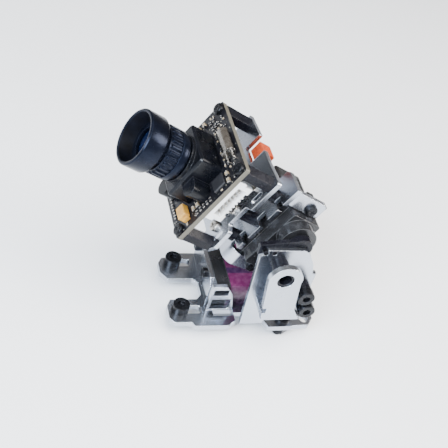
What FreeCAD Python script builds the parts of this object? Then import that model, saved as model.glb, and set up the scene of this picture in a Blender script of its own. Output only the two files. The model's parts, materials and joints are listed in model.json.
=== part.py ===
import FreeCAD, Part
import math
import os

from FreeCAD import Vector, Placement, Matrix

os.makedirs("parts", exist_ok=True)

# ---------------------------------------------------------------------------
# Driving dimensions, millimetres.  +X right, +Y away, +Z up.  The origin lies
# on the underside of the base plate, below the roll axis.
# ---------------------------------------------------------------------------
SHEET = 1.5                      # aluminium sheet of all bent brackets
BASE_T = 2.0                     # base plate thickness
BASE_MID_Y = 1.2                 # centre line of the base plate
BASE_LEFT, BASE_RIGHT = -25.6, 23.2
ROLL_Z = BASE_T + 4.8            # height of the roll axis
TILT_X, TILT_Z = 8.0, 35.5       # tilt axis, parallel to Y
TILT_REST_DEG = 26.8             # how far the lens looks up at rest
ROLL_PLATE_Y = (-13.5, -12.0)    # upright plate of the roll frame
CHEEK_Y = (-20.5, -18.7)         # front cheek plate
BOARD_HALF = 16.0                # camera board is 32 x 32
BOARD_T = 1.6
BOARD_TO_AXIS_W = 28.4           # board front face to tilt axis along the lens axis
BOARD_TO_AXIS_P = 5.9            # tilt axis above the lens axis
STANDOFF = 10.0
PLATE_GAP = 5.9                  # gap between camera plate and servo bracket
RUN = 0.05                       # radial running clearance of the shafts
M3_SHANK, M3_HEAD, M3_HEAD_H, M3_KEY = 1.5, 2.75, 3.0, 2.5
M3_CLEAR = 1.6                   # clearance hole radius for an M3 screw
M2_SHANK, M2_HEAD = 1.0, 1.9
M2_CLEAR = 1.05                  # clearance hole radius for an M2 screw
PILOT = 0.8                      # hole and shank radius of the smallest screws

# Micro servos
SERVO_NEAR = 5.9                 # shaft to the near end of the case
SERVO_LENGTH = 23.0
SERVO_WALL = 1.0
SERVO_CORNER = 1.0
MOTOR_R = 3.6
GEAR_TEETH = 20
SPLINE_R = 2.4                   # output shaft under the horn
SERVO_SCREW_Y = (1.8, 13.6)      # roll servo screws through the servo wall
SERVO_SCREW_Z = 9.6
EAR_PITCH = 27.8                 # between the tilt servo's ear holes

# Base
BASE_SCREWS = [(-20.8, 12.8), (-21.6, -7.4)]      # cap screws in the finger slots
LOW_SCREWS = [(12.4, -12.0), (12.4, 14.6)]        # low heads, below the swing of the roll frame
MOUNT_HOLES = [(20.0, -12.0), (20.0, 14.6)]       # free holes for the vehicle's screws
BASE_SCREW_LENGTH = 6.6
LOW_HEAD, LOW_HEAD_H = 2.6, 1.3

# Roll frame
BRACKET_SCREWS = [(12.5, 20.9), (14.7, 14.6)]     # (x, z) of the two screws on sleeves
SLEEVE = 3.0                     # length of those sleeves
SLEEVE_R = 2.6
LEG_X = 15.5                     # inner face of the bracket leg on the roll horn
CHEEK_HOLE = (2.2, 30.8)         # (x, z)
BUSH_OUTER, BUSH_BORE = 2.7, 2.0
HORN_SCREW_X, HORN_SCREW_Z = (-0.6, -3.4), 35.2
HORN_HUB = 2.4                   # height of the tilt horn's hub
HORN_ARM = 1.6                   # thickness of its arm

# Camera stage, in its own coordinates (up, away, forward)
BOARD_HOLE = 13.9                # board screw positions from the centre
PLATE1 = -BOARD_T - STANDOFF     # front face of the camera plate
PLATE2 = PLATE1 - SHEET - PLATE_GAP
EAR_V = -15.0                    # outer face of the tilt servo's ears
ARM_BEND = 3.6                   # outer bend radius of the servo bracket's arms
CORNERS = [(BOARD_HOLE, BOARD_HOLE), (BOARD_HOLE, -BOARD_HOLE),
           (-BOARD_HOLE, -BOARD_HOLE), (-BOARD_HOLE, BOARD_HOLE)]
SPACERS = [(9.6, -10.6), (-0.6, -11.2), (-9.6, -10.6)]
EAR_MID = BOARD_TO_AXIS_P + SERVO_NEAR - SERVO_LENGTH / 2
EAR_HI, EAR_LO = EAR_MID + EAR_PITCH / 2, EAR_MID - EAR_PITCH / 2
CRYSTAL_P, CRYSTAL_V = 13.2, -6.8
CRYSTAL_LEADS = (-1.2, 1.2)
LEAD_R = 0.22
LEAD_DROP = 2.6                  # where the leads bend down, in front of the can
HOLDER_BOSSES = [(-1.0, -10.6), (-10.6, -1.0)]
RESISTORS = ([(-5.6 + 1.5 * i, -14.9) for i in range(5)] +
             [(-14.6, -9.0 + 2.4 * i) for i in range(5)] +
             [(9.0 + 1.3 * i, 8.4) for i in range(3)] + [(8.6, 11.2), (10.2, 11.2)])
CERAMICS = [(-6.6, -12.8), (-4.8, -12.8), (8.8, -14.9), (8.9, -12.3), (-13.0, 4.2),
            (-13.0, 7.4), (6.4, 12.6), (4.2, 12.6)]

# Lens, along its axis from the board's front face
HOLDER_HALF, HOLDER_H = 8.3, 8.0
THREAD_R = 6.0                   # M12 lens thread
LENS_TUBE = 6.2                  # outer radius of the barrel's front tube
LENS_BORE = 4.6
FRONT_GLASS = 5.5                # radius of the front element
GLASS_SEAT = 1.8                 # depth of its seat
RING_REAR, HOOD_REAR, LENS_SEAT, HOOD_FRONT = 10.2, 17.0, 19.8, 25.0
RING_R, GRIP_GROOVES = 7.9, 26
HOOD_R = 8.9

X, Y, Z = Vector(1, 0, 0), Vector(0, 1, 0), Vector(0, 0, 1)
nodes = {}


# ---------------------------------------------------------------------------
# Small helpers
# ---------------------------------------------------------------------------
def box(x0, x1, y0, y1, z0, z1):
    return Part.makeBox(x1 - x0, y1 - y0, z1 - z0, Vector(x0, y0, z0))


def cyl(radius, start, end):
    a, b = Vector(*start), Vector(*end)
    return Part.makeCylinder(radius, (b - a).Length, a, b - a)


def cone(r0, r1, start, end):
    a, b = Vector(*start), Vector(*end)
    return Part.makeCone(r0, r1, (b - a).Length, a, b - a)


def prism(points, direction):
    wire = Part.makePolygon([Vector(*p) for p in points + points[:1]])
    return Part.Face(wire).extrude(direction)


def prism_xy(points, z0, z1):
    return prism([(x, y, z0) for x, y in points], Vector(0, 0, z1 - z0))


def prism_xz(points, y0, y1):
    return prism([(x, y0, z) for x, z in points], Vector(0, y1 - y0, 0))


def prism_yz(points, x0, x1):
    return prism([(x0, y, z) for y, z in points], Vector(x1 - x0, 0, 0))


def hexagon(across_flats, start, end, turn=0.0):
    a, b = Vector(*start), Vector(*end)
    axis = (b - a).normalize()
    side = X if abs(axis.dot(X)) < 0.9 else Y
    side = side.cross(axis).normalize()
    other = axis.cross(side)
    r = across_flats / 2 / math.cos(math.pi / 6)
    corners = []
    for i in range(6):
        t = math.radians(60 * i + turn)
        corners.append(a + side * (r * math.cos(t)) + other * (r * math.sin(t)))
    return Part.Face(Part.makePolygon(corners + corners[:1])).extrude(b - a)


def ring(outer, inner, start, end):
    return cyl(outer, start, end).cut(cyl(inner, start, end))


def slot_xy(x0, x1, y, width, z0, z1):
    r = width / 2
    body = box(x0 + r, x1 - r, y - r, y + r, z0, z1)
    return body.fuse([cyl(r, (x, y, z0), (x, y, z1)) for x in (x0 + r, x1 - r)])


def fillet_along(shape, axis, radius, keep=lambda middle: True):
    """Round the edges parallel to axis whose middle passes the keep test."""
    picked = []
    for e in shape.Edges:
        if not isinstance(e.Curve, Part.Line):
            continue
        d = (e.Vertexes[1].Point - e.Vertexes[0].Point).normalize()
        if abs(abs(d.dot(axis)) - 1) < 1e-6 and keep(e.CenterOfMass):
            picked.append(e)
    return shape.makeFillet(radius, picked)


def cap_screw(seat, direction, length):
    """Socket cap screw: the head stands on the seat, the shank goes along direction."""
    s, d = Vector(*seat), Vector(*direction).normalize()
    head = Part.makeCylinder(M3_HEAD, M3_HEAD_H, s, d * -1)
    rim = [e for e in head.Edges if e.Length > 10 and (e.CenterOfMass - s).Length > 1]
    head = head.makeFillet(0.25, rim[:1])
    shank = Part.makeCylinder(M3_SHANK, length, s, d)
    top = s - d * M3_HEAD_H
    socket = hexagon(M3_KEY, tuple(top - d * 0.01), tuple(top + d * 1.3))
    return head.fuse(shank).cut(socket)


def pan_screw(seat, direction, length, shank=M2_SHANK, head=M2_HEAD, height=1.3):
    """Small cross-recess screw, head on the seat side."""
    s, d = Vector(*seat), Vector(*direction).normalize()
    body = Part.makeCylinder(head, height, s, d * -1)
    rim = [e for e in body.Edges
           if e.Length > 6 and (e.CenterOfMass - s).Length > height * 0.6]
    body = body.makeFillet(height * 0.4, rim[:1])
    body = body.fuse(Part.makeCylinder(shank, length, s, d))
    u = X if abs(d.dot(X)) < 0.9 else Y
    u = u.cross(d).normalize()
    bars = []
    for side in (u, u.cross(d)):
        a = s - d * (height + 0.1) - side * head * 0.6
        for deep in (0, 0.35):
            bars.append(Part.makeCylinder(0.22, head * 1.2, a + d * deep, side))
    for side_bars in (bars[:2], bars[2:]):
        body = body.cut(side_bars[0].fuse(side_bars[1]))
    return body


def nut(start, direction, across=5.5, height=2.4, hole=M3_SHANK):
    s, d = Vector(*start), Vector(*direction).normalize()
    end = s + d * height
    return hexagon(across, tuple(s), tuple(end)).cut(Part.makeCylinder(hole, height, s, d))


def put(name, shape, placement=None):
    if isinstance(shape, (list, tuple)):
        shape = Part.makeCompound(list(shape))
    if placement is not None:
        shape = shape.copy()
        shape.Placement = placement.multiply(shape.Placement)
    nodes[name] = shape


# ---------------------------------------------------------------------------
# Camera stage frame: local X is camera up, local Y is away, local Z is the
# way the lens looks.  The local origin is the centre of the board's front face.
# ---------------------------------------------------------------------------
S, C = math.sin(math.radians(TILT_REST_DEG)), math.cos(math.radians(TILT_REST_DEG))
STAGE_ORIGIN = Vector(TILT_X - BOARD_TO_AXIS_P * S - BOARD_TO_AXIS_W * C, 14.0,
                      TILT_Z - BOARD_TO_AXIS_P * C + BOARD_TO_AXIS_W * S)
STAGE = Placement(Matrix(S, 0, -C, STAGE_ORIGIN.x,
                         0, 1, 0, STAGE_ORIGIN.y,
                         C, 0, S, STAGE_ORIGIN.z,
                         0, 0, 0, 1))


# ---------------------------------------------------------------------------
# Micro servo.  Local Z is the shaft, zero at the shaft side of the ears; the
# long side runs along local X with the shaft at x = 0.
# ---------------------------------------------------------------------------
def servo(prefix, half, bottom, lid, gearbox, boss, shaft, ears, where):
    near, far = SERVO_NEAR, SERVO_NEAR - SERVO_LENGTH
    wall = SERVO_WALL
    split = bottom + lid
    mid = (near + far) / 2
    motor_x = far + 1.6 + MOTOR_R

    def shell(z0, z1):
        return fillet_along(box(far, near, -half, half, z0, z1), Z, SERVO_CORNER)

    def inside(z0, z1):
        return box(far + wall, near - wall, -half + wall, half - wall, z0, z1)

    lid_shape = shell(bottom, split).cut(inside(bottom + wall, split))

    case = shell(split, 0)
    if ears:
        for sign in (-1, 1):
            ends = [mid + sign * (SERVO_LENGTH / 2 + reach) for reach in (-0.5, 4.6)]
            ear = box(min(ends), max(ends), -half, half, -2.5, 0)
            hx = mid + sign * EAR_PITCH / 2
            case = case.fuse(ear.cut(cyl(M2_CLEAR, (hx, 0, -3), (hx, 0, 1))))
    case = case.cut(inside(split, -wall))
    case = case.cut(cyl(1.3, (motor_x, 0, -wall - 1), (motor_x, 0, 1)))

    top = shell(0, gearbox)
    top = top.fuse(cyl(half, (0, 0, 0), (0, 0, boss)))
    top = top.fuse(cyl(2.6, (-8.0, 0, 0), (-8.0, 0, boss - 0.4)))
    top = top.cut(inside(0, gearbox - wall))
    top = top.cut(cyl(half - 1.3, (0, 0, -0.1), (0, 0, boss - 1.4)))
    top = top.cut(cyl(SPLINE_R + RUN, (0, 0, 0), (0, 0, boss + 1)))

    motor = cyl(MOTOR_R, (motor_x, 0, split + 0.3), (motor_x, 0, -wall))
    motor = motor.fuse(cyl(0.6, (motor_x, 0, -wall), (motor_x, 0, 1.6)))
    motor = motor.cut(box(motor_x - 4, motor_x + 4, half - wall - 0.1, half, split, 0))
    board = box(far + wall + 0.2, near - wall - 0.2, -half + wall + 0.2, half - wall - 0.2,
                bottom + wall + 0.9, bottom + wall + 1.9)

    gear_r = min(half - 1.8, 4.2)
    spindle = cyl(SPLINE_R, (0, 0, 0.9), (0, 0, shaft))
    spindle = spindle.fuse(cyl(gear_r, (0, 0, 0.5), (0, 0, boss - 1.7)))
    gaps = []
    for i in range(GEAR_TEETH):
        t = 2 * math.pi * i / GEAR_TEETH
        x, y = gear_r * math.cos(t), gear_r * math.sin(t)
        gaps.append(cyl(0.28, (x, y, 0.4), (x, y, boss - 1.6)))
    spindle = spindle.cut(Part.makeCompound(gaps))
    spindle = spindle.cut(cyl(PILOT, (0, 0, shaft - 4), (0, 0, shaft + 1)))

    put(prefix + "_servo_bottom", lid_shape, where)
    put(prefix + "_servo_case", case, where)
    put(prefix + "_servo_gearbox", top, where)
    put(prefix + "_servo_motor", motor, where)
    put(prefix + "_servo_board", board, where)
    put(prefix + "_servo_shaft", spindle, where)


# ---------------------------------------------------------------------------
# Base: slotted mounting plate with a bent-up servo wall and a front wall
# ---------------------------------------------------------------------------
def base_plate():
    b = BASE_MID_Y
    notch_l, notch_r = -4.0, 5.7
    outline = [(BASE_LEFT + 1.6, b - 13.8), (-18.6, b - 13.8), (-17.6, b - 15.4),
               (-6.4, b - 15.4), (-5.6, b - 14.4), (notch_l, b - 13.6), (notch_l, b - 10.2),
               (notch_r, b - 10.2), (notch_r, b - 13.4), (notch_r + 1.0, b - 16.4), (15.2, b - 16.4), (15.6, b - 16.0),
               (BASE_RIGHT - 2.2, b - 16.0), (BASE_RIGHT, b - 13.2),
               (BASE_RIGHT, b + 14.0), (BASE_RIGHT - 2.2, b + 16.0), (-17.6, b + 16.0),
               (-18.6, b + 14.4), (BASE_LEFT + 1.4, b + 13.8), (BASE_LEFT, b + 11.6),
               (BASE_LEFT, b + 7.4), (BASE_LEFT + 2.2, b + 4.4), (-15.2, b + 4.4),
               (-13.4, b + 2.4), (-13.4, b - 2.4), (-15.2, b - 4.4), (BASE_LEFT + 1.4, b - 4.4),
               (BASE_LEFT, b - 6.8), (BASE_LEFT, b - 12.0)]
    plate = prism_xy(outline, 0, BASE_T)
    for y in (b - 8.6, b + 11.6):
        plate = plate.cut(slot_xy(-23.4, -14.4, y, 2 * M3_CLEAR, -1, BASE_T + 1))
    plate = plate.cut(box(-10.9, -4.2, b - 11.3, b - 9.0, -1, BASE_T + 1))
    for x, y in LOW_SCREWS + MOUNT_HOLES:
        plate = plate.cut(cyl(M3_CLEAR, (x, y, -1), (x, y, BASE_T + 1)))
    wall = prism_yz([(-4.2, 0), (16.4, 0), (16.4, 9.0), (13.8, 11.4), (-2.0, 11.4), (-4.2, 9.2)],
                    -11.0 - SHEET, -11.0)
    for y in SERVO_SCREW_Y:
        wall = wall.cut(cyl(M2_CLEAR, (-14, y, SERVO_SCREW_Z), (-10, y, SERVO_SCREW_Z)))
    front = prism_xz([(-13.0, 0), (-4.2, 0), (-4.2, 3.0), (-5.8, 9.6), (-8.2, 13.0),
                      (-13.0, 13.0)], -6.2 - SHEET, -6.2)
    low_window = box(-12.2, -5.6, -9, -5, BASE_T + 0.5, 7.2)
    front = front.cut(fillet_along(low_window, Y, 0.8, lambda c: c.z < 4))
    front = front.cut(box(-12.2, -7.2, -9, -5, 8.9, 11.6))
    return plate.fuse([wall, front])


ROLL_SERVO = Placement(Matrix(0, 0, 1, 5.5,
                              -1, 0, 0, 0.0,
                              0, -1, 0, ROLL_Z,
                              0, 0, 0, 1))


def servo_block(x0, x1):
    """Outside of the roll servo's case, for the label that is wrapped round it."""
    block = box(x0, x1, -SERVO_NEAR, SERVO_LENGTH - SERVO_NEAR, ROLL_Z - 4.9, ROLL_Z + 4.8)
    return fillet_along(block, X, 1.0, lambda c: c.z > ROLL_Z)


def build_base():
    put("base_plate", base_plate())
    caps = [cap_screw((x, y, BASE_T), (0, 0, -1), BASE_SCREW_LENGTH) for x, y in BASE_SCREWS]
    lows = [pan_screw((x, y, BASE_T), (0, 0, -1), BASE_SCREW_LENGTH, M3_SHANK, LOW_HEAD,
                      LOW_HEAD_H) for x, y in LOW_SCREWS]
    put("base_screws", caps + lows)
    put("base_nuts", [nut((x, y, 0), (0, 0, -1)) for x, y in BASE_SCREWS + LOW_SCREWS])
    servo("roll", half=4.8, bottom=-16.5, lid=4.4, gearbox=4.2, boss=7.3, shaft=10.0,
          ears=False, where=ROLL_SERVO)
    screws = [pan_screw((-12.5, y, SERVO_SCREW_Z), (1, 0, 0), 5.0, 0.9, 1.7, 1.8)
              for y in SERVO_SCREW_Y]
    holes = Part.makeCompound([cyl(0.9, (-12, y, SERVO_SCREW_Z), (-7.4, y, SERVO_SCREW_Z))
                               for y in SERVO_SCREW_Y])
    put("roll_servo_screws", screws)
    for name in ("roll_servo_bottom", "roll_servo_board"):
        nodes[name] = nodes[name].cut(holes)
    film = 0.12
    label = box(-6.4, 5.4, -SERVO_NEAR - film, SERVO_LENGTH - SERVO_NEAR + film,
                ROLL_Z - 4.8, ROLL_Z + 4.8 + film)
    label = label.cut(servo_block(-6.6, 5.6))
    put("roll_servo_label", label)


# ---------------------------------------------------------------------------
# Roll frame: upright plate, front cheek, bracket on the roll horn, tilt horn
# ---------------------------------------------------------------------------
def build_roll_frame():
    y0, y1 = ROLL_PLATE_Y
    outline = [(-2.8, 1.9), (4.7, 1.9), (6.2, 8.4), (17.2, 8.4), (17.2, 14.0), (15.8, 22.0),
               (13.6, 30.0), (11.2, 34.6), (9.0, 36.4), (-2.8, 36.4), (-5.0, 33.6)]
    plate = prism_xz(outline, y0, y1)
    for x, z in BRACKET_SCREWS:
        plate = plate.cut(cyl(M3_SHANK, (x, y0 - 1, z), (x, y1 + 1, z)))
    plate = plate.cut(cyl(1.2, (CHEEK_HOLE[0], y0 - 1, CHEEK_HOLE[1]),
                          (CHEEK_HOLE[0], y1 + 1, CHEEK_HOLE[1])))
    plate = plate.cut(box(3.0, 9.0, y0 - 1, y1 + 1, 12.7, 14.2))
    for x in HORN_SCREW_X:
        plate = plate.cut(cyl(PILOT, (x, y0 - 1, HORN_SCREW_Z), (x, y1 + 1, HORN_SCREW_Z)))
    put("roll_plate", plate)

    c0, c1 = CHEEK_Y
    hx, hz = CHEEK_HOLE
    cheek = prism_xz([(-3.0, 29.6), (-0.6, 12.7), (12.0, 12.7), (9.2, 17.4), (7.4, 29.6)], c0, c1)
    cheek = cheek.fuse(cyl(5.3, (hx, c0, hz), (hx, c1, hz)))
    cheek = cheek.cut(box(-2.4, 0.0, c0 - 1, c1 + 1, 16.0, 18.2))
    cheek = cheek.fuse(box(-0.4, 11.6, c0, y0, 12.7, 14.2))
    cheek = cheek.fuse(box(3.2, 8.8, y0, y1, 12.7, 14.2))
    cheek = cheek.cut(cyl(BUSH_OUTER, (hx, c0 - 1, hz), (hx, c1 + 1, hz)))
    put("front_cheek", cheek)
    put("cheek_bushing", ring(BUSH_OUTER, BUSH_BORE, (hx, c0 + 0.4, hz), (hx, y0, hz)))
    put("cheek_screw", pan_screw((hx, y0, hz), (0, 1, 0), 3.0, 1.2, 1.85, 1.3))

    flange = box(9.6, LEG_X + SHEET, y1, y1 + SHEET, 9.0, 24.4)
    leg = prism_yz([(y1, 9.0), (-6.0, 4.4), (-3.4, ROLL_Z - 3.2), (3.4, ROLL_Z - 3.2),
                    (4.2, ROLL_Z), (3.4, ROLL_Z + 4.4), (-4.0, 12.0), (-8.0, 23.0), (y1, 24.4)],
                   LEG_X, LEG_X + SHEET)
    bracket = flange.fuse(leg).removeSplitter()
    for x, z in BRACKET_SCREWS:
        bracket = bracket.cut(cyl(M3_SHANK, (x, y1 - 1, z), (x, y1 + 3, z)))
    bracket = bracket.cut(cyl(1.0, (LEG_X - 1, 0, ROLL_Z), (LEG_X + 3, 0, ROLL_Z)))
    put("roll_bracket", bracket)
    seat = y0 - SLEEVE
    put("bracket_sleeves", [ring(SLEEVE_R, M3_SHANK, (x, seat, z), (x, y0, z))
                            for x, z in BRACKET_SCREWS])
    put("bracket_screws", [cap_screw((x, seat, z), (0, 1, 0), SLEEVE + 2 * SHEET)
                           for x, z in BRACKET_SCREWS])

    hub = cyl(3.6, (13.1, 0, ROLL_Z), (LEG_X, 0, ROLL_Z))
    arms = box(LEG_X - 1.4, LEG_X, -9.0, 2.0, ROLL_Z - 1.9, ROLL_Z + 1.9)
    horn = hub.fuse(arms)
    horn = horn.cut(cyl(SPLINE_R, (13.0, 0, ROLL_Z), (LEG_X, 0, ROLL_Z)))
    put("roll_horn", horn)
    nodes["roll_servo_shaft"] = nodes["roll_servo_shaft"].cut(
        cyl(1.0, (12, 0, ROLL_Z), (16, 0, ROLL_Z)))
    put("roll_horn_screw", pan_screw((LEG_X + SHEET, 0, ROLL_Z), (-1, 0, 0), 4.6, 1.0, 1.9, 1.2))

    hub = cyl(3.7, (TILT_X, y1, TILT_Z), (TILT_X, y1 + HORN_HUB, TILT_Z))
    tip_x = TILT_X - 13.2
    arm = prism_xz([(TILT_X, TILT_Z - 3.4), (tip_x, TILT_Z - 2.2), (tip_x, TILT_Z + 1.6),
                    (TILT_X, TILT_Z + 3.4)], y1, y1 + HORN_ARM)
    horn = hub.fuse(arm).cut(cyl(SPLINE_R, (TILT_X, y1 + HORN_ARM, TILT_Z),
                                 (TILT_X, y1 + 3, TILT_Z)))
    horn = horn.cut(cyl(2.0, (TILT_X, y1 - 1, TILT_Z), (TILT_X, y1 + 1.1, TILT_Z)))
    horn = horn.cut(cyl(M2_SHANK, (TILT_X, y1, TILT_Z), (TILT_X, y1 + 3, TILT_Z)))
    for x in HORN_SCREW_X:
        horn = horn.cut(cyl(PILOT, (x, y1 - 1, HORN_SCREW_Z), (x, y1 + 3, HORN_SCREW_Z)))
    put("tilt_horn", horn)
    put("tilt_horn_screw", pan_screw((TILT_X, y1 + 1.1, TILT_Z), (0, 1, 0), 4.1, M2_SHANK,
                                     M2_HEAD, 1.0))
    put("horn_fixing_screws", [pan_screw((x, y1 + HORN_ARM, HORN_SCREW_Z), (0, -1, 0),
                                         HORN_ARM + SHEET, PILOT, 1.5, 1.0)
                               for x in HORN_SCREW_X])


# ---------------------------------------------------------------------------
# Camera stage, all in local coordinates (up, away, forward)
# ---------------------------------------------------------------------------
def build_plates():
    outline = [(17.2, -16.6), (4.8, -16.6), (3.6, -14.0), (-4.4, -14.0), (-5.4, -16.8),
               (-12.6, -17.2), (-16.4, -15.0), (-16.4, -10.6), (-13.6, -8.6), (-13.6, 8.6),
               (-16.4, 10.6), (-16.4, 16.2), (16.4, 16.2), (17.0, 6.0),
               (10.6, 6.0), (10.6, -1.0), (16.6, -1.0), (16.6, -6.0)]
    below, above = PLATE1 - 3, PLATE1 + 1
    plate = prism_xy(outline, PLATE1 - SHEET, PLATE1)
    plate = fillet_along(plate, Z, 0.9, lambda c: c.y < -10)
    for p, v in CORNERS + SPACERS:
        plate = plate.cut(cyl(M2_SHANK, (p, v, below), (p, v, above)))
    for p in (8.6, -9.4):
        plate = plate.cut(slot_xy(p - 2.6, p + 2.0, -14.4, 1.5, below, above))
    window = fillet_along(box(-10.4, 7.0, -7.6, 11.6, below, above), Z, 2.0)
    put("camera_plate", plate.cut(window), STAGE)

    rear = PLATE2 - SHEET
    outer, inner, bend = EAR_V - SHEET, EAR_V, ARM_BEND
    bracket = prism_xy([(18.0, outer + bend), (18.0, -8.2), (16.8, -7.0), (-15.2, -7.0),
                        (-16.4, -8.2), (-16.4, outer + bend)], rear, PLATE2)
    bracket = bracket.fuse([box(p0, p1, outer, outer + bend, rear, PLATE2) for p0, p1 in
                            ((11.4, 18.0), (4.4, 9.0), (-4.6, 1.0), (-9.6, -7.0))])
    axis_w = -BOARD_TO_AXIS_W
    for hole_p, p0, p1 in ((EAR_HI, 12.1, 17.6), (EAR_LO, -16.4, -11.5)):
        centre_v, centre_w = outer + bend, PLATE2 - bend
        rolled = ring(bend, bend - SHEET, (p0, centre_v, centre_w), (p1, centre_v, centre_w))
        rolled = rolled.common(box(p0, p1, outer, centre_v, centre_w, PLATE2))
        arm = rolled.fuse(box(p0, p1, outer, inner, axis_w - 4.2, centre_w)).removeSplitter()
        arm = arm.cut(cyl(M2_CLEAR, (hole_p, outer - 1, axis_w), (hole_p, inner + 1, axis_w)))
        bracket = bracket.fuse(fillet_along(arm, Y, 1.6, lambda c: c.z < axis_w - 3.5))
    for p, v in SPACERS:
        bracket = bracket.cut(cyl(M2_SHANK, (p, v, rear - 1), (p, v, PLATE2 + 1)))
    put("servo_bracket", bracket.removeSplitter(), STAGE)
    put("ear_screws", [pan_screw((p, outer, axis_w), (0, 1, 0), 6.0) for p in
                       (EAR_HI, EAR_LO)], STAGE)
    put("ear_nuts", [nut((p, inner + 2.5, axis_w), (0, 1, 0), 4.0, 1.6, M2_SHANK) for p in
                     (EAR_HI, EAR_LO)], STAGE)
    put("plate_spacers", [ring(2.2, M2_SHANK, (p, v, PLATE2), (p, v, PLATE1 - SHEET))
                          for p, v in SPACERS], STAGE)
    put("spacer_screws", [pan_screw((p, v, PLATE1), (0, 0, -1), 10.6, M2_SHANK, 1.8, 1.1)
                          for p, v in SPACERS], STAGE)
    put("spacer_nuts", [nut((p, v, rear), (0, 0, -1), 4.0, 1.6, M2_SHANK) for p, v in SPACERS],
        STAGE)
    put("cable_pad", box(11.0, 15.4, -0.2, 5.2, PLATE2 + 1.6, PLATE1 - SHEET), STAGE)


def build_tilt_servo():
    local = Placement(Matrix(1, 0, 0, BOARD_TO_AXIS_P,
                             0, 0, -1, EAR_V,
                             0, 1, 0, -BOARD_TO_AXIS_W,
                             0, 0, 0, 1))
    servo("tilt", half=5.75, bottom=-18.4, lid=4.5, gearbox=4.3, boss=8.2, shaft=9.2,
          ears=True, where=STAGE.multiply(local))
    nodes["tilt_servo_shaft"] = nodes["tilt_servo_shaft"].cut(
        cyl(1.0, (TILT_X, -14, TILT_Z), (TILT_X, -6.6, TILT_Z)))


def build_board():
    board = box(-BOARD_HALF, BOARD_HALF, -BOARD_HALF, BOARD_HALF, -BOARD_T, 0)
    board = fillet_along(board, Z, 0.8)
    for p, v in CORNERS:
        board = board.cut(cyl(M2_SHANK, (p, v, -3), (p, v, 1)))
    for p, v in HOLDER_BOSSES:
        board = board.cut(cyl(PILOT, (p, v, -3), (p, v, 1)))
    lead_v = CRYSTAL_V - LEAD_DROP
    for side in CRYSTAL_LEADS:
        board = board.cut(cyl(LEAD_R, (CRYSTAL_P + side, lead_v, -3),
                              (CRYSTAL_P + side, lead_v, 1)))
    put("camera_board", board, STAGE)
    put("board_screws", [pan_screw((p, v, 0), (0, 0, -1), 5.0) for p, v in CORNERS], STAGE)
    stand = []
    for p, v in CORNERS:
        post = hexagon(4.6, (p, v, PLATE1), (p, v, -BOARD_T), 30)
        stand.append(post.cut(cyl(M2_SHANK, (p, v, PLATE1), (p, v, -BOARD_T))))
    put("standoffs", stand, STAGE)
    put("standoff_screws", [pan_screw((p, v, PLATE1 - SHEET), (0, 0, 1), 5.0)
                            for p, v in CORNERS], STAGE)

    shell = box(-3.2, 10.0, -15.9, -12.4, -6.6, -BOARD_T)
    shell = fillet_along(shell, X, 0.4, lambda c: c.z < -6)
    mouth = box(-2.4, 9.2, -16.5, -13.2, -6.0, -3.0)
    shell = shell.cut(mouth)
    blocks = [box(p, p + 2.2, -15.9, -12.4, -7.4, -BOARD_T) for p in (-3.8, 8.4)]
    blocks = [fillet_along(block, X, 0.5, lambda c: c.z < -7).cut(mouth) for block in blocks]
    ribs = [box(1.3 * i, 1.3 * i + 0.5, -15.9, -12.4, -6.9, -6.5) for i in range(6)]
    tabs = [box(p, p + 1.1, -15.9, -12.8, -4.4, -BOARD_T) for p in (-4.6, 10.3)]
    put("connector_shell", shell.fuse(blocks + ribs + tabs), STAGE)
    pins = [box(p - 0.25, p + 0.25, -15.6, -13.2, -4.8, -4.3) for p in
            [-1.1 + 1.5 * i for i in range(7)]]
    put("connector_pins", pins, STAGE)

    can = box(CRYSTAL_P - 1.9, CRYSTAL_P + 1.9, CRYSTAL_V, CRYSTAL_V + 9.6, 0.15, 3.15)
    can = fillet_along(can, Y, 1.4)
    flange = box(CRYSTAL_P - 2.2, CRYSTAL_P + 2.2, CRYSTAL_V - 0.5, CRYSTAL_V, 0.05, 3.4)
    can = can.fuse(fillet_along(flange, Y, 1.5))
    put("crystal_can", can, STAGE)
    leads = []
    for side in CRYSTAL_LEADS:
        p = CRYSTAL_P + side
        knee = (p, lead_v, 1.6)
        leads.append(cyl(LEAD_R, (p, CRYSTAL_V - 0.5, 1.6), knee).fuse(
            [Part.makeSphere(LEAD_R, Vector(*knee)), cyl(LEAD_R, knee, (p, lead_v, -2.4))]))
    put("crystal_leads", leads, STAGE)

    cap = box(-11.4, -8.2, -13.0, -8.6, 0.2, 2.6)
    cap = cap.makeChamfer(0.25, cap.Edges)
    ends = [box(-10.9, -8.7, v, v + 0.7, 0, 1.3) for v in (-13.6, -8.7)]
    put("tantalum_capacitor", cap.fuse(ends), STAGE)
    chip = box(3.4, 8.0, -14.2, -9.8, 0.1, 1.0)
    put("video_chip", chip.makeChamfer(0.12, chip.Edges), STAGE)
    put("memory_chip", box(-8.6, -3.4, 10.2, 14.0, 0.1, 1.2), STAGE)
    put("chip_legs", [box(-8.3 + 0.75 * i, -8.0 + 0.75 * i, v, v + 0.7, 0, 0.6)
                      for i in range(7) for v in (9.5, 14.0)], STAGE)
    put("resistors", [box(p, p + 0.8, v, v + 1.5, 0, 0.5) for p, v in RESISTORS], STAGE)
    put("ceramic_capacitors", [box(p, p + 1.0, v, v + 1.8, 0, 0.9) for p, v in CERAMICS], STAGE)


def element(radius, z0, edge, bulge):
    """Lens element with a domed front, its rim starting at z0."""
    rim = cyl(radius, (0, 0, z0), (0, 0, z0 + edge))
    r = (radius ** 2 + bulge ** 2) / (2 * bulge)
    ball = Part.makeSphere(r, Vector(0, 0, z0 + edge + bulge - r))
    dome = ball.common(cyl(radius, (0, 0, z0 + edge), (0, 0, z0 + edge + bulge + 1)))
    return rim.fuse(dome)


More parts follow.
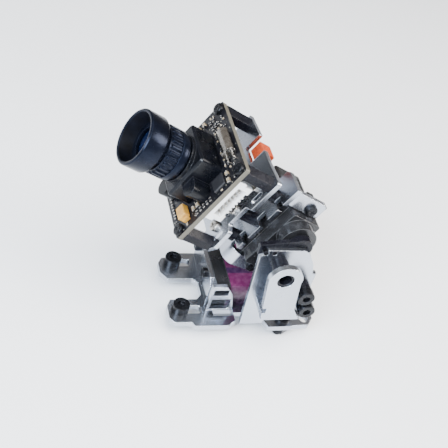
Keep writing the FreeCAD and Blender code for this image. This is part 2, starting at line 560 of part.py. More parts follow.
def build_lens():
    half, height = HOLDER_HALF, HOLDER_H
    holder = fillet_along(box(-half, half, -half, half, 0, height), Z, 1.2)
    holder = holder.makeChamfer(0.6, [e for e in holder.Edges
                                      if abs(e.CenterOfMass.z - height) < 1e-6])
    holder = holder.fuse(ring(7.6, THREAD_R, (0, 0, height - 0.5), (0, 0, RING_REAR - 1.0)))
    for p, v in HOLDER_BOSSES:
        for nearer in (1.0, 0.86):
            q, w = p * nearer, v * nearer
            holder = holder.fuse(cyl(2.6, (q, w, 0), (q, w, 6.2)))
    holder = holder.cut(box(-7.0, 7.0, -7.0, 7.0, -1, 3.0))
    holder = holder.cut(cyl(THREAD_R, (0, 0, 2), (0, 0, 12)))
    for p, v in HOLDER_BOSSES:
        holder = holder.cut(cyl(PILOT, (p, v, -1), (p, v, 4.6)))
    put("lens_holder", holder, STAGE)
    put("holder_screws", [pan_screw((p, v, -BOARD_T), (0, 0, 1), 5.6, PILOT, 1.5, 1.0)
                          for p, v in HOLDER_BOSSES], STAGE)
    sensor = box(-4.6, 4.6, -4.6, 4.6, 0, 1.4).fuse(box(-3.4, 3.4, -3.4, 3.4, 1.4, 1.8))
    put("image_sensor", sensor, STAGE)

    barrel = cyl(THREAD_R - RUN, (0, 0, 3.4), (0, 0, RING_REAR - 0.5))
    barrel = barrel.fuse(cyl(7.4, (0, 0, RING_REAR - 0.5), (0, 0, RING_REAR)))
    barrel = barrel.fuse(cyl(LENS_TUBE, (0, 0, RING_REAR), (0, 0, LENS_SEAT)))
    barrel = barrel.cut(cyl(LENS_BORE, (0, 0, 3), (0, 0, 21)))
    barrel = barrel.cut(cyl(FRONT_GLASS, (0, 0, LENS_SEAT - GLASS_SEAT), (0, 0, LENS_SEAT)))
    put("lens_barrel", barrel, STAGE)

    ring_shape = ring(RING_R, LENS_TUBE, (0, 0, RING_REAR), (0, 0, HOOD_REAR))
    grooves = []
    for i in range(GRIP_GROOVES):
        t = 2 * math.pi * i / GRIP_GROOVES
        x, y = RING_R * math.cos(t), RING_R * math.sin(t)
        grooves.append(cyl(0.42, (x, y, HOOD_REAR - 4.2), (x, y, HOOD_REAR - 0.6)))
    put("focus_ring", ring_shape.cut(Part.makeCompound(grooves)), STAGE)

    hood = cone(7.3, HOOD_R, (0, 0, HOOD_REAR), (0, 0, HOOD_REAR + 2.0))
    hood = hood.fuse(cyl(HOOD_R, (0, 0, HOOD_REAR + 2.0), (0, 0, HOOD_FRONT - 0.6)))
    hood = hood.fuse(cone(HOOD_R, 8.4, (0, 0, HOOD_FRONT - 0.6), (0, 0, HOOD_FRONT)))
    hood = hood.cut(cyl(LENS_TUBE, (0, 0, HOOD_REAR), (0, 0, LENS_SEAT)))
    hood = hood.cut(cone(6.6, 7.7, (0, 0, LENS_SEAT), (0, 0, HOOD_FRONT)))
    put("lens_hood", hood, STAGE)
    put("retaining_ring", ring(6.5, 5.0, (0, 0, LENS_SEAT), (0, 0, LENS_SEAT + 0.9)), STAGE)

    put("front_glass", element(FRONT_GLASS, LENS_SEAT - GLASS_SEAT, 1.2, 1.6), STAGE)
    put("rear_glass", element(LENS_BORE, 5.2, 1.0, 0.8), STAGE)


build_base()
build_tilt_servo()
build_roll_frame()
build_plates()
build_board()
build_lens()

for name, shape in nodes.items():
    shape.exportStep("parts/" + name + ".step")
    print(name, len(shape.Solids), shape.isValid(), round(shape.Volume, 2))
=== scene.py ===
import json
import math
import random

import bmesh
import bpy
from mathutils import Matrix, Vector


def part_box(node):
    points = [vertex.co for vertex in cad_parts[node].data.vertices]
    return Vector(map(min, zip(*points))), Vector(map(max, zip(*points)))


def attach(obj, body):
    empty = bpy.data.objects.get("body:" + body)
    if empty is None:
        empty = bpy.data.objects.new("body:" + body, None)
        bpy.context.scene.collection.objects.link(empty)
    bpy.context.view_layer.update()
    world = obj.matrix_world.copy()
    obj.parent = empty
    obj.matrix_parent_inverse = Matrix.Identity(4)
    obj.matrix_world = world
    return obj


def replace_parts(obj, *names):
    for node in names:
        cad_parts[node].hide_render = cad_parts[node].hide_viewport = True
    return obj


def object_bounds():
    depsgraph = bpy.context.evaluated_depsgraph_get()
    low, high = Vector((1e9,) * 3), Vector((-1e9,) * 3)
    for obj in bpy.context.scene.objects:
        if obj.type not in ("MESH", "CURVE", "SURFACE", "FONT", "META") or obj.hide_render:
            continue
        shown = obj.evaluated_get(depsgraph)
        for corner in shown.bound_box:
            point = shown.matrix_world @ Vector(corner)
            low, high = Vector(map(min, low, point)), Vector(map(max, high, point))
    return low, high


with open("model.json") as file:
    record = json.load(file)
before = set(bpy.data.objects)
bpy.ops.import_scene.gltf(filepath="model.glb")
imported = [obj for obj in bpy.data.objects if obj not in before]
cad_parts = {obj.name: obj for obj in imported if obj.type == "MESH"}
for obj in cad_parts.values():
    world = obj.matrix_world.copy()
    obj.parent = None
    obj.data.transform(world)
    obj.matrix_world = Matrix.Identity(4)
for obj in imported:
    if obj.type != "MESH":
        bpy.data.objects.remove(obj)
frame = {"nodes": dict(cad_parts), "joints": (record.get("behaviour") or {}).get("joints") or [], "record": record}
cad_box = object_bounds()
NODES = frame["nodes"]
JOINTS = {j["name"]: j for j in frame["joints"]}
MM = 0.001
FLOOR_Z = cad_box[0][2] - 0.2 * MM

# ---------------------------------------------------------------------------
# Camera: direction to the viewer, distance and roll about the line of sight
# ---------------------------------------------------------------------------
VIEW_AZIMUTH, VIEW_ELEVATION, VIEW_ROLL = -25.5, 42.0, 18.8
VIEW_DISTANCE = 0.234
FOCAL_MM = 61.4
TARGET = Vector((-0.0121, 0.0021, 0.0316))


def add_camera():
    az, el = math.radians(VIEW_AZIMUTH), math.radians(VIEW_ELEVATION)
    out = Vector((math.sin(az) * math.cos(el), -math.cos(az) * math.cos(el), math.sin(el)))
    data = bpy.data.cameras.new("view")
    data.lens = FOCAL_MM
    data.clip_start = 0.01
    cam = bpy.data.objects.new("view", data)
    bpy.context.collection.objects.link(cam)
    turn = out.to_track_quat("Z", "Y").to_matrix()
    turn = turn @ Matrix.Rotation(math.radians(VIEW_ROLL), 3, "Z")
    cam.matrix_world = Matrix.Translation(TARGET + out * VIEW_DISTANCE) @ turn.to_4x4()
    bpy.context.scene.camera = cam


add_camera()


# ---------------------------------------------------------------------------
# Materials
# ---------------------------------------------------------------------------
class Nodes:
    """A material's node tree with short calls for the nodes used here."""

    def __init__(self, name):
        self.mat = bpy.data.materials.new(name)
        self.mat.use_nodes = True
        self.tree = self.mat.node_tree
        self.shader = self.tree.nodes["Principled BSDF"]
        texture = self.add("ShaderNodeTexCoord")
        self.coords, self.normals = texture.outputs["Object"], texture.outputs["Normal"]

    def add(self, kind, inputs=None, **settings):
        node = self.tree.nodes.new(kind)
        for key, value in settings.items():
            setattr(node, key, value)
        for key, value in (inputs or {}).items():
            if isinstance(value, bpy.types.NodeSocket):
                self.tree.links.new(value, node.inputs[key])
            else:
                node.inputs[key].default_value = value
        return node

    def set(self, **values):
        for key, value in values.items():
            socket = self.shader.inputs[key.replace("_", " ")]
            if isinstance(value, bpy.types.NodeSocket):
                self.tree.links.new(value, socket)
            elif isinstance(value, tuple) and len(value) == 3:
                socket.default_value = (*value, 1)
            else:
                socket.default_value = value
        return self

    def noise(self, scale, detail=4.0, stretch=(1, 1, 1), rough=0.55):
        place = self.add("ShaderNodeMapping", {"Vector": self.coords, "Scale": stretch})
        return self.add("ShaderNodeTexNoise", {"Vector": place.outputs[0], "Scale": scale,
                                               "Detail": detail, "Roughness": rough}).outputs["Fac"]

    def ramp(self, value, low, high, a=0.35, b=0.65):
        ramp = self.add("ShaderNodeValToRGB", {"Fac": value})
        for element, spot, colour in zip(ramp.color_ramp.elements, (a, b), (low, high)):
            element.position = spot
            element.color = (*colour, 1)
        return ramp.outputs["Color"]

    def span(self, value, low, high):
        return self.add("ShaderNodeMapRange", {"Value": value, "From Min": 0.3, "From Max": 0.7,
                                               "To Min": low, "To Max": high}).outputs["Result"]

    def mix(self, factor, a, b):
        node = self.add("ShaderNodeMix", data_type="RGBA")
        for index, value in ((0, factor), (6, a), (7, b)):
            if isinstance(value, bpy.types.NodeSocket):
                self.tree.links.new(value, node.inputs[index])
            else:
                node.inputs[index].default_value = value if index == 0 else (*value, 1)
        return node.outputs[2]

    def edges(self, radius):
        """Rounded-edge normal, and a mask that is 1 along edges."""
        soft = self.add("ShaderNodeBevel", {"Radius": radius}, samples=6).outputs[0]
        flat = self.add("ShaderNodeNewGeometry").outputs["Normal"]
        dot = self.add("ShaderNodeVectorMath", {0: soft, 1: flat}, operation="DOT_PRODUCT")
        mask = self.add("ShaderNodeMapRange", {"Value": dot.outputs["Value"], "From Min": 0.995,
                                               "From Max": 0.90, "To Min": 0.0, "To Max": 1.0})
        return soft, mask.outputs["Result"]

    def bump(self, height, strength, distance, normal=None):
        inputs = {"Height": height, "Strength": strength, "Distance": distance}
        if normal is not None:
            inputs["Normal"] = normal
        return self.add("ShaderNodeBump", inputs).outputs[0]


def aluminium():
    """Satin sheet: fine rolled grain, cloudy tone, and edges lightened partly as polish, partly as a painted
    highlight.
    """
    n = Nodes("satin_aluminium")
    soft, edge = n.edges(0.22 * MM)
    grain = n.noise(1400, 3, (0.05, 1, 1))
    colour = n.ramp(n.noise(70, 5), (0.40, 0.43, 0.48), (0.46, 0.49, 0.55), 0.3, 0.7)
    colour = n.mix(n.ramp(n.noise(900, 2), (0, 0, 0), (0.10, 0.10, 0.10), 0.55, 0.8), colour,
                   (0.30, 0.31, 0.34))
    # Edges lightened to pale blue: partly polished edge, partly painted highlight.
    colour = n.mix(edge, colour, (0.70, 0.74, 0.80))
    return n.set(Base_Color=colour, Metallic=1.0, Roughness=n.span(n.noise(120, 3), 0.24, 0.28),
                 Normal=n.bump(grain, 0.05, 0.03 * MM, soft)).mat


def black_steel():
    """Oxide-blackened fastener steel, brighter along its edges: partly wear, partly painted highlight."""
    n = Nodes("black_steel")
    soft, edge = n.edges(0.18 * MM)
    base = n.ramp(n.noise(300, 5), (0.006, 0.006, 0.007), (0.014, 0.015, 0.018))
    # Edges brightened: partly wear, partly painted highlight.
    colour = n.mix(edge, base, (0.045, 0.045, 0.052))
    return n.set(Base_Color=colour, Metallic=0.6, Roughness=n.span(n.noise(500, 4), 0.22, 0.34),
                 Specular_IOR_Level=0.22,
                 Normal=n.bump(n.noise(3000, 2), 0.06, 0.03 * MM, soft)).mat


def anodised():
    """Blue-black anodised lens metal with a soft satin highlight and a painted blue highlight on its edges."""
    n = Nodes("lens_black")
    soft, edge = n.edges(0.14 * MM)
    base = n.ramp(n.noise(260, 5), (0.0015, 0.002, 0.004), (0.004, 0.005, 0.009))
    # Painted highlight: edges lightened towards blue.
    colour = n.mix(edge, base, (0.016, 0.020, 0.034))
    return n.set(Base_Color=colour, Roughness=n.span(n.noise(700, 4), 0.20, 0.28),
                 Specular_IOR_Level=0.14, Specular_Tint=(0.50, 0.62, 1.0),
                 Normal=n.bump(n.noise(3600, 2), 0.08, 0.03 * MM, soft)).mat


def plastic(name, dark, light, rough, bump=0.15, fine=2200, radius=0.25, painted_highlight_lift=1.6,
            shine=0.5):
    """Moulded plastic: cloudy tone, fine texture, and edges lightened as a painted highlight."""
    n = Nodes(name)
    soft, edge = n.edges(radius * MM)
    base = n.ramp(n.noise(220, 5), dark, light)
    # Painted highlight: edges lightened from the light tone.
    colour = n.mix(edge, base, tuple(min(1.0, c * painted_highlight_lift + 0.01) for c in light))
    return n.set(Base_Color=colour, Roughness=n.span(n.noise(400, 4), *rough),
                 Specular_IOR_Level=shine,
                 Normal=n.bump(n.noise(fine, 3), bump, 0.04 * MM, soft)).mat


def bare_metal(name, dark, light, rough):
    """Plain metal with a faint grain and edges lightened as a painted highlight."""
    n = Nodes(name)
    soft, edge = n.edges(0.12 * MM)
    # Painted highlight: edges take the light tone.
    colour = n.mix(edge, n.ramp(n.noise(350, 5), dark, light), light)
    return n.set(Base_Color=colour, Metallic=1.0, Roughness=n.span(n.noise(700, 4), *rough),
                 Normal=n.bump(n.noise(1800, 3), 0.08, 0.03 * MM, soft)).mat


def circuit_board(name, mask, trace, rim):
    """Solder mask over fine tracks, small bare pads, and a pale laminate rim."""
    n = Nodes(name)
    soft, edge = n.edges(0.15 * MM)
    cells = n.add("ShaderNodeTexVoronoi", {"Vector": n.coords, "Scale": 620.0},
                  distance="CHEBYCHEV", feature="F1")
    lines = n.ramp(cells.outputs["Distance"], (1, 1, 1), (0, 0, 0), 0.05, 0.22)
    pads = n.add("ShaderNodeTexVoronoi", {"Vector": n.coords, "Scale": 820.0})
    dots = n.ramp(pads.outputs["Distance"], (1, 1, 1), (0, 0, 0), 0.10, 0.15)
    colour = n.mix(lines, mask, trace)
    colour = n.mix(dots, colour, (0.40, 0.38, 0.31))
    facing = n.add("ShaderNodeVectorMath", {0: n.normals, 1: JOINTS["focus"]["axis"]},
                   operation="DOT_PRODUCT").outputs["Value"]
    flat = n.add("ShaderNodeMath", {0: facing}, operation="ABSOLUTE").outputs[0]
    colour = n.mix(n.ramp(flat, (1, 1, 1), (0, 0, 0), 0.3, 0.6), colour, rim)
    colour = n.mix(edge, colour, rim)
    return n.set(Base_Color=colour, Roughness=n.span(n.noise(300, 4), 0.30, 0.48),
                 Specular_IOR_Level=0.3,
                 Normal=n.bump(cells.outputs["Distance"], 0.2, 0.04 * MM, soft)).mat


def smoked():
    """Smoke-grey servo plastic, slightly translucent, with edges lightened as a painted highlight."""
    n = Nodes("smoked_plastic")
    soft, edge = n.edges(0.3 * MM)
    base = n.ramp(n.noise(120, 4), (0.011, 0.011, 0.012), (0.024, 0.024, 0.026))
    # Painted highlight: edges lightened.
    colour = n.mix(edge, base, (0.065, 0.066, 0.070))
    return n.set(Base_Color=colour, Roughness=n.span(n.noise(260, 3), 0.16, 0.30),
                 Transmission_Weight=0.20, IOR=1.45, Specular_IOR_Level=0.4,
                 Normal=n.bump(n.noise(600, 3), 0.05, 0.03 * MM, soft)).mat


def label_film():
    """Film: magenta ground with painted shade darkening it downwards, with plain dark bands."""
    n = Nodes("servo_label")
    lo, hi = (Vector(c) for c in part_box("roll_servo_label"))
    split = n.add("ShaderNodeSeparateXYZ", {"Vector": n.coords})
    up = n.add("ShaderNodeMapRange", {"Value": split.outputs["Z"], "From Min": lo.z,
                                      "From Max": hi.z}).outputs["Result"]
    # Painted shade: the magenta darkens to near black towards the bottom of the label.
    ground = n.ramp(up, (0.010, 0.003, 0.014), (0.088, 0.010, 0.052), 0.22, 1.0)
    away = n.add("ShaderNodeMapRange", {"Value": split.outputs["Y"], "From Min": lo.y,
                                        "From Max": hi.y}).outputs["Result"]
    band = n.add("ShaderNodeValToRGB", {"Fac": away})
    band.color_ramp.interpolation = "CONSTANT"
    for spot, tone in ((0.20, 0.0), (0.24, 1.0), (0.34, 0.0), (0.56, 1.0), (0.60, 0.0)):
        band.color_ramp.elements.new(spot).color = (tone, tone, tone, 1)
    for element in (band.color_ramp.elements[0], band.color_ramp.elements[-1]):
        element.color = (0, 0, 0, 1)
    colour = n.mix(band.outputs["Color"], ground, (0.035, 0.012, 0.045))
    colour = n.mix(n.ramp(n.noise(500, 4), (0, 0, 0), (0.10, 0.10, 0.10), 0.4, 0.9), colour,
                   (0.7, 0.4, 0.6))
    return n.set(Base_Color=colour, Roughness=0.25, Specular_IOR_Level=0.4,
                 Normal=n.bump(n.noise(120, 2), 0.10, 0.1 * MM)).mat


def coated_glass():
    """Multicoated element: near black face-on, with a painted blue coating reflection where it turns away."""
    n = Nodes("lens_glass")
    facing = n.add("ShaderNodeLayerWeight", {"Blend": 0.45}).outputs["Facing"]
    # Painted reflection: colour turns from near black face-on to blue at grazing view.
    colour = n.ramp(facing, (0.001, 0.002, 0.006), (0.004, 0.009, 0.032), 0.05, 0.75)
    return n.set(Base_Color=colour, Roughness=0.06, IOR=1.6, Specular_IOR_Level=0.28,
                 Specular_Tint=(0.35, 0.50, 1.0),
                 Normal=n.bump(n.noise(60, 2), 0.01, 0.02 * MM)).mat


def foam():
    """Open-cell orange foam."""
    n = Nodes("orange_foam")
    cells = n.add("ShaderNodeTexVoronoi", {"Vector": n.coords, "Scale": 2200.0})
    colour = n.ramp(cells.outputs["Distance"], (0.58, 0.085, 0.022), (0.30, 0.035, 0.010), 0.1, 0.7)
    return n.set(Base_Color=colour, Roughness=0.85, Specular_IOR_Level=0.2,
                 Normal=n.bump(cells.outputs["Distance"], 0.6, 0.1 * MM)).mat


MATERIALS = {
    "satin_aluminium": aluminium(),
    "black_steel": black_steel(),
    "smoked_plastic": smoked(),
    "servo_label": label_film(),
    "motor_can": bare_metal("motor_can", (0.45, 0.45, 0.47), (0.62, 0.62, 0.64), (0.2, 0.4)),
    "green_board": circuit_board("green_board", (0.01, 0.08, 0.03), (0.03, 0.16, 0.06),
                                 (0.30, 0.32, 0.20)),
    "black_board": circuit_board("black_board", (0.004, 0.004, 0.006), (0.012, 0.012, 0.015),
                                 (0.105, 0.095, 0.072)),
    "horn_plastic": plastic("horn_plastic", (0.003, 0.003, 0.005), (0.007, 0.007, 0.010),
                            (0.22, 0.32), shine=0.14),
    "shaft_brass": bare_metal("shaft_brass", (0.50, 0.36, 0.14), (0.75, 0.58, 0.28), (0.2, 0.35)),
    "lens_black": anodised(),
    "hood_lining": plastic("hood_lining", (0.0008, 0.001, 0.002), (0.0025, 0.003, 0.006),
                           (0.45, 0.60), 0.2, 2600, 0.05, 1.2, shine=0.08),
    "holder_plastic": plastic("holder_plastic", (0.0015, 0.002, 0.003), (0.004, 0.0045, 0.007),
                              (0.24, 0.34), 0.25, 1600, shine=0.22),
    "lens_glass": coated_glass(),
    "sensor_silicon": bare_metal("sensor_silicon", (0.05, 0.03, 0.09), (0.10, 0.08, 0.16),
                                 (0.1, 0.2)),
    "connector_white": plastic("connector_white", (0.74, 0.74, 0.73), (0.88, 0.88, 0.87),
                               (0.35, 0.5), 0.15, 1800, 0.2, 1.1),
    "bright_metal": bare_metal("bright_metal", (0.36, 0.34, 0.31), (0.54, 0.51, 0.47),
                               (0.20, 0.34)),
    "tantalum_orange": plastic("tantalum_orange", (0.32, 0.14, 0.02), (0.50, 0.27, 0.045),
                               (0.35, 0.5), 0.2, 2400, 0.2, 1.2),
    "orange_foam": foam(),
    "ceramic_tan": plastic("ceramic_tan", (0.20, 0.15, 0.09), (0.36, 0.28, 0.18), (0.4, 0.6), 0.2,
                           3000, 0.1, 1.3),
    "chip_black": plastic("chip_black", (0.008, 0.008, 0.010), (0.020, 0.020, 0.022), (0.35, 0.5),
                          0.3, 3200, 0.1, 1.8),
}

for part in frame["record"]["subparts"]:
    for slot in NODES[part["node"]].material_slots:
        slot.link = "OBJECT"
        slot.material = MATERIALS[part["material_slot"]]


# ---------------------------------------------------------------------------
# Mesh helpers.  The lens turns about the focus axis; the camera stage has its
# own frame of up, away and forward on the front face of the camera board.
# ---------------------------------------------------------------------------
FORWARD = Vector(JOINTS["focus"]["axis"]).normalized()
AXIS_POINT = Vector(JOINTS["focus"]["pos_m"])
AWAY = Vector((0, 1, 0))
UP = AWAY.cross(FORWARD)
LENS_FRAME = Matrix.Translation(AXIS_POINT) @ Matrix((UP, AWAY, FORWARD)).transposed().to_4x4()
BOARD_FACE = max((v.co - AXIS_POINT).dot(FORWARD) for v in NODES["camera_board"].data.vertices)
STAGE_FRAME = LENS_FRAME @ Matrix.Translation((0, 0, BOARD_FACE))


def axial(node):
    """Lowest and highest place of a node along the lens axis, and its largest radius."""
    local = [LENS_FRAME.inverted() @ v.co for v in NODES[node].data.vertices]
    return min(c.z for c in local), max(c.z for c in local), max(c.xy.length for c in local)


def finish_mesh(bm, name, body, slot, frame_matrix, smooth_deg=35):
    bmesh.ops.recalc_face_normals(bm, faces=bm.faces)
    mesh = bpy.data.meshes.new(name)
    bm.to_mesh(mesh)
    bm.free()
    mesh.transform(frame_matrix)
    for p in mesh.polygons:
        p.use_smooth = True
    mesh.set_sharp_from_angle(angle=math.radians(smooth_deg))
    mesh.materials.append(MATERIALS[slot])
    piece = bpy.data.objects.new(name, mesh)
    bpy.context.collection.objects.link(piece)
    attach(piece, body)
    return piece


def lathe(name, profile, steps=128, ripple=None, smooth_deg=35, slot="lens_black"):
    """Turns a closed (radius, height) outline; ripple(i, radius, angle) changes radii."""
    bm = bmesh.new()
    rings = []
    for s in range(steps):
        t = 2 * math.pi * s / steps
        row = []
        for i, (r, h) in enumerate(profile):
            r = ripple(i, r, t) if ripple else r
            row.append(bm.verts.new((r * math.cos(t), r * math.sin(t), h)))
        rings.append(row)
    for s in range(steps):
        a, b = rings[s], rings[(s + 1) % steps]
        for i in range(len(profile)):
            j = (i + 1) % len(profile)
            bm.faces.new((a[i], a[j], b[j], b[i]))
    bmesh.ops.remove_doubles(bm, verts=bm.verts, dist=1e-6)
    return finish_mesh(bm, name, "lens", slot, LENS_FRAME, smooth_deg)


def rounded_block(bm, lo, hi, radius, segments=2):
    """A box from lo to hi with all its edges rounded, added to bm."""
    lo, hi = Vector(lo), Vector(hi)
    size = hi - lo
    place = Matrix.Translation((lo + hi) / 2) @ Matrix.Diagonal((*size, 1))
    made = bmesh.ops.create_cube(bm, size=1.0, matrix=place)
    edges = {e for v in made["verts"] for e in v.link_edges}
    bmesh.ops.bevel(bm, geom=list(edges), offset=radius, segments=segments, affect="EDGES",
                    profile=0.5)


def islands(node):
    """Boxes, in the stage frame, of the separate solids of a node."""
    bm = bmesh.new()
    bm.from_mesh(NODES[node].data)
    bmesh.ops.remove_doubles(bm, verts=bm.verts, dist=1e-6)
    bm.transform(STAGE_FRAME.inverted())
    left, boxes = set(bm.verts), []
    for start in list(bm.verts):
        if start not in left:
            continue
        left.discard(start)
        group, queue = [], [start]
        while queue:
            v = queue.pop()
            group.append(v.co.copy())
            for e in v.link_edges:
                other = e.other_vert(v)
                if other in left:
                    left.discard(other)
                    queue.append(other)
        boxes.append((Vector(min(c[i] for c in group) for i in range(3)),
                      Vector(max(c[i] for c in group) for i in range(3))))
    bm.free()
    return boxes


# ---------------------------------------------------------------------------
# Lens: hood, grip ring and barrel
# ---------------------------------------------------------------------------
TUBE = 6.2 * MM                   # outer radius of the barrel's front tube
BORE = TUBE + 0.05 * MM           # bore of the pieces that sit on it
THREAD, PITCH, TOOTH = 5.95 * MM, 0.5 * MM, 0.26 * MM
FLANGE = 7.4 * MM                 # radius of the barrel's flange
LENS_BORE, GLASS_BORE, GLASS_DEPTH = 4.6 * MM, 5.5 * MM, 1.8 * MM
BAFFLES = 7                       # steps inside the hood
HOOD_INSET = 0.07 * MM            # keeps the round hood inside the faceted CAD one
RIDGES, RIDGE_DEPTH = 26, 0.55 * MM


def build_hood():
    h0, h1, r = axial("lens_hood")
    r, h1 = r - HOOD_INSET, h1 - 0.03 * MM
    seat = axial("retaining_ring")[0] + 0.1 * MM
    ring_out = axial("retaining_ring")[2]
    profile = [(r * 0.80, h0), (r * 0.82, h0 + 0.35 * MM), (r - 0.8 * MM, h0 + 1.2 * MM),
               (r - 0.15 * MM, h0 + 1.7 * MM), (r, h0 + 2.1 * MM), (r, h1 - 0.9 * MM),
               (r - 0.06 * MM, h1 - 0.35 * MM), (r - 0.35 * MM, h1 - 0.05 * MM),
               (r - 0.7 * MM, h1), (r - 1.05 * MM, h1 - 0.10 * MM)]
    mouth, throat = r - 1.15 * MM, ring_out + 0.12 * MM
    depth = h1 - 0.3 * MM - seat
    for i in range(BAFFLES):
        outer = mouth + (throat - mouth) * i / BAFFLES
        profile += [(outer, h1 - 0.3 * MM - depth * i / BAFFLES),
                    (outer - 0.09 * MM, h1 - 0.3 * MM - depth * (i + 0.8) / BAFFLES)]
    profile += [(throat, seat), (BORE, seat), (BORE, h0)]
    hood = lathe("hood_shell", profile, 160)
    hood.data.materials.append(MATERIALS["hood_lining"])
    for face in hood.data.polygons:
        middle = LENS_FRAME.inverted() @ face.center
        if middle.xy.length < mouth and middle.z > seat - 0.01 * MM:
            face.material_index = 1
    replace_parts(hood, "lens_hood")


def build_grip_ring():
    h0, h1, r = axial("focus_ring")
    g0, g1, depth = h1 - 4.3 * MM, h1 - 0.45 * MM, RIDGE_DEPTH
    profile = [(BORE, h0), (r - 0.35 * MM, h0), (r - 0.08 * MM, h0 + 0.12 * MM),
               (r, h0 + 0.4 * MM), (r, g0 - 0.35 * MM), (r - 0.10 * MM, g0 - 0.10 * MM),
               (r - depth, g0), (r, g0 + 0.35 * MM), (r, g1 - 0.35 * MM), (r - depth, g1),
               (r - depth, h1), (BORE, h1)]
    crests = (7, 8)

    def ridge(i, radius, t):
        if i not in crests:
            return radius
        wave = 0.5 + 0.5 * math.cos(RIDGES * t)
        return radius - depth * (1 - min(1.0, max(0.0, wave * 2.4 - 0.7)))

    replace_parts(lathe("grip_ring", profile, RIDGES * 14, ridge, 50), "focus_ring")


def build_barrel():
    h0, h1, _ = axial("lens_barrel")
    flange = axial("focus_ring")[0]
    shoulder = flange - 0.5 * MM
    profile = [(LENS_BORE, h0), (THREAD - 0.4 * MM, h0), (THREAD, h0 + 0.3 * MM)]
    turns = int((shoulder - h0) / PITCH) - 1
    for i in range(turns):
        height = h0 + 0.4 * MM + PITCH * i
        profile += [(THREAD, height), (THREAD - TOOTH, height + PITCH / 2)]
    profile += [(THREAD, shoulder), (FLANGE - 0.2 * MM, shoulder),
                (FLANGE, shoulder + 0.15 * MM), (FLANGE, flange), (TUBE, flange), (TUBE, h1),
                (GLASS_BORE, h1), (GLASS_BORE, h1 - GLASS_DEPTH), (LENS_BORE, h1 - GLASS_DEPTH)]
    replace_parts(lathe("threaded_barrel", profile, 96), "lens_barrel")


# ---------------------------------------------------------------------------
# Camera board: every chip part gets a rounded body and two plated ends
# ---------------------------------------------------------------------------
CHIP_LONG, CHIP_SHORT, CHIP_HIGH = 1.0 * MM, 0.5 * MM, 0.35 * MM
CHIP_SPACING, CHIP_MARGIN = 1.45 * MM, 0.15 * MM
CHIP_SHARE = 0.72                 # share of the places that hold a part
BOARD_EDGE, LENS_CLEAR = 15.2 * MM, 9.0 * MM


def chip_pieces(name, boxes, body_slot):
    """Rounded bodies in one piece, and their plated ends in another, on the board."""
    bodies, ends = bmesh.new(), bmesh.new()
    for lo, hi in boxes:
        size = hi - lo
        along = 0 if size.x > size.y else 1
        cap = size[along] * 0.22
        rim = 0.02 * MM
        inner_lo, inner_hi = lo.copy(), hi.copy()
        inner_lo[along] += cap
        inner_hi[along] -= cap
        inner_lo.z += rim
        inner_hi.z -= rim
        rounded_block(bodies, inner_lo, inner_hi, 0.05 * MM)
        for low_end in (True, False):
            end_lo, end_hi = lo.copy(), hi.copy()
            if low_end:
                end_hi[along] = lo[along] + cap
            else:
                end_lo[along] = hi[along] - cap
            rounded_block(ends, end_lo, end_hi, 0.06 * MM)
    piece = finish_mesh(bodies, name + "_bodies", "camera_stage", body_slot, STAGE_FRAME, 50)
    finish_mesh(ends, name + "_ends", "camera_stage", "bright_metal", STAGE_FRAME, 50)
    return piece


def free_places(blocked, rows):
    """Boxes of small chip parts in rows on the board, clear of everything fitted."""
    spacing, margin = CHIP_SPACING, CHIP_MARGIN
    shuffle = random.Random(7)
    places = []
    for p0, p1, v0, v1 in rows:
        for i in range(int((p1 - p0) / spacing)):
            for j in range(int((v1 - v0) / spacing)):
                p = p0 + spacing * (i + 0.3 * shuffle.random())
                v = v0 + spacing * (j + 0.3 * shuffle.random())
                size = (CHIP_LONG, CHIP_SHORT)
                if shuffle.random() >= 0.5:
                    size = (CHIP_SHORT, CHIP_LONG)
                keep = shuffle.random() < CHIP_SHARE
                lo = Vector((p, v, 0.0))
                hi = Vector((p + size[0], v + size[1], CHIP_HIGH))
                clear = all(hi.x + margin < b[0].x or lo.x - margin > b[1].x or
                            hi.y + margin < b[0].y or lo.y - margin > b[1].y for b in blocked)
                if keep and clear:
                    places.append((lo, hi))
    return places


def build_board_parts():
    fitted = ("resistors", "ceramic_capacitors", "tantalum_capacitor", "video_chip",
              "memory_chip", "chip_legs", "crystal_can", "crystal_leads", "lens_holder",
              "board_screws")
    blocked = [b for node in fitted for b in islands(node)]
    for node, slot in (("resistors", "chip_black"), ("ceramic_capacitors", "ceramic_tan")):
        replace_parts(chip_pieces(node, islands(node), slot), node)
    half, edge = BOARD_EDGE, LENS_CLEAR
    rows = [(-half, half, -half, -edge), (-half, -edge, -edge, half), (edge, half, -edge, half)]
    places = free_places(blocked, rows)
    chip_pieces("small_parts_dark", places[::2], "chip_black")
    chip_pieces("small_parts_tan", places[1::2], "ceramic_tan")


build_hood()
build_grip_ring()
build_barrel()
build_board_parts()


# ---------------------------------------------------------------------------
# Floor and light
# ---------------------------------------------------------------------------
FLOOR_HALF = 1.2
LIGHT_AIM = Vector((0, 0, 0.03))


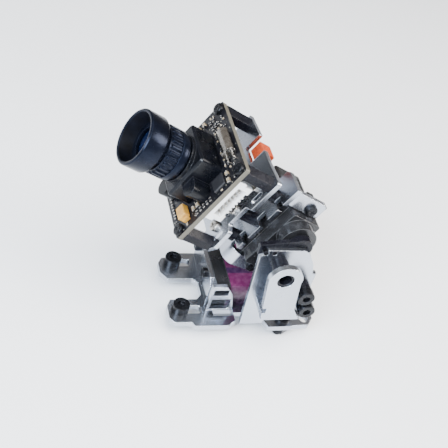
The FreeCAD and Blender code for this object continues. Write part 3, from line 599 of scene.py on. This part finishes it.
def add_floor():
    mesh = bpy.data.meshes.new("floor")
    corners = [(x * FLOOR_HALF, y * FLOOR_HALF, FLOOR_Z) for x, y in
               ((-1, -1), (1, -1), (1, 1), (-1, 1))]
    mesh.from_pydata(corners, [], [(0, 1, 2, 3)])
    floor = bpy.data.objects.new("floor", mesh)
    bpy.context.collection.objects.link(floor)
    n = Nodes("floor_paint")
    n.set(Base_Color=n.ramp(n.noise(3, 2), (0.90, 0.90, 0.90), (0.93, 0.93, 0.93)), Roughness=0.9)
    mesh.materials.append(n.mat)


def add_light(name, place, size, power, tint):
    data = bpy.data.lights.new(name, "AREA")
    data.size, data.energy, data.color = size, power, tint
    light = bpy.data.objects.new(name, data)
    bpy.context.collection.objects.link(light)
    light.location = place
    light.rotation_euler = (LIGHT_AIM - Vector(place)).to_track_quat("-Z", "Y").to_euler()


def add_world():
    """Soft room: cool in front of the object and warm behind it."""
    world = bpy.data.worlds.new("studio")
    world.use_nodes = True
    tree = world.node_tree
    coords = tree.nodes.new("ShaderNodeTexCoord")
    split = tree.nodes.new("ShaderNodeSeparateXYZ")
    away = tree.nodes.new("ShaderNodeMapRange")
    shade = tree.nodes.new("ShaderNodeValToRGB")
    tree.links.new(coords.outputs["Generated"], split.inputs[0])
    tree.links.new(split.outputs["Y"], away.inputs["Value"])
    away.inputs["From Min"].default_value = -0.5
    away.inputs["From Max"].default_value = 0.55
    tree.links.new(away.outputs["Result"], shade.inputs["Fac"])
    shade.color_ramp.elements[0].color = (0.46, 0.54, 0.73, 1)
    shade.color_ramp.elements[1].color = (0.62, 0.575, 0.535, 1)
    background = tree.nodes["Background"]
    tree.links.new(shade.outputs["Color"], background.inputs["Color"])
    background.inputs["Strength"].default_value = 0.55
    bpy.context.scene.world = world


add_floor()
add_light("window", (-0.42, -0.30, 0.42), 0.30, 12.0, (0.78, 0.88, 1.0))
add_light("ceiling", (0.02, -0.16, 0.60), 0.50, 8.0, (1.0, 0.99, 0.97))
add_light("side", (0.50, -0.18, 0.28), 0.25, 5.0, (1.0, 0.95, 0.90))
add_world()
